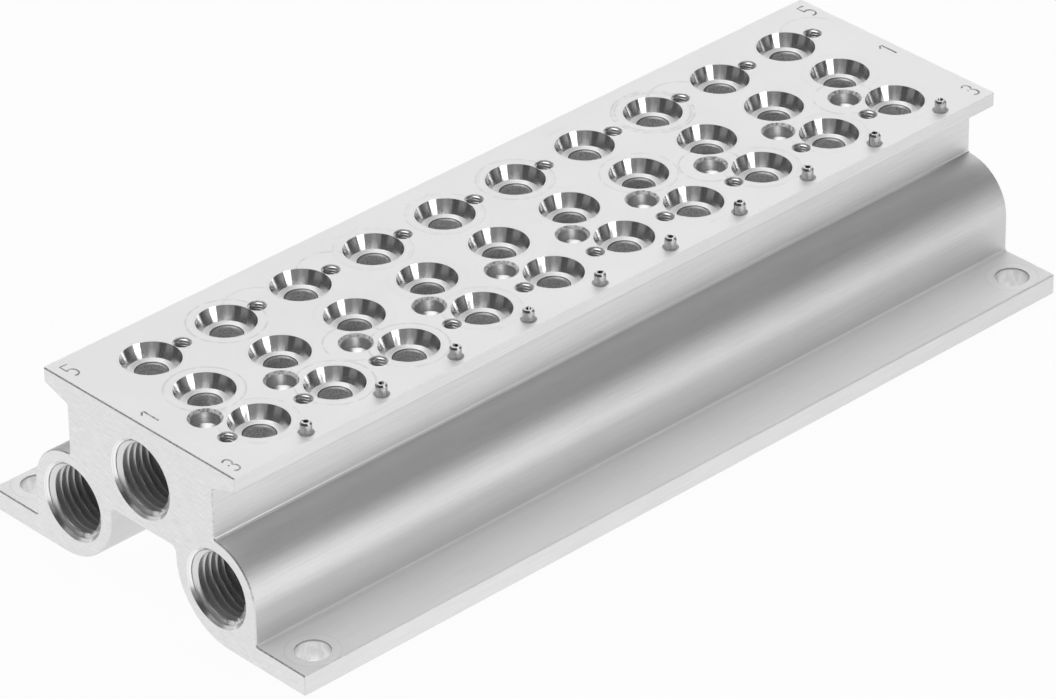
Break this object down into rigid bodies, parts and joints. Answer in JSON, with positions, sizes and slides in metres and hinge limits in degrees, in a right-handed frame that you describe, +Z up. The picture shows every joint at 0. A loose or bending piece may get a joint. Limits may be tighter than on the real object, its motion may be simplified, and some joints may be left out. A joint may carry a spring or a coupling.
{
  "type": "connection block",
  "caption": "Extruded aluminium manifold rail for a row of small pneumatic valves, with threaded end ports, conical valve seats, locating pins and drilled mounting feet.",
  "frame": {"origin": "middle of the underside", "axes": "+X along the rail, away from the end nearest the camera; +Y towards the row of ports 5; +Z up out of the valve plate"},
  "size_m": [0.172, 0.076, 0.0356],
  "materials": {
    "machined_aluminium": "extruded satin sides, fine milled top and ends, turned bright seats",
    "spring_steel": "plain spring steel, slightly darker than the rail"
  },
  "bodies": {
    "root": {"manifold_rail": "machined_aluminium", "locating_pin_01": "spring_steel", "locating_pin_02": "spring_steel", "locating_pin_03": "spring_steel", "locating_pin_04": "spring_steel", "locating_pin_05": "spring_steel", "locating_pin_06": "spring_steel", "locating_pin_07": "spring_steel", "locating_pin_08": "spring_steel", "locating_pin_09": "spring_steel", "locating_pin_10": "spring_steel"}
  },
  "joints": []
}
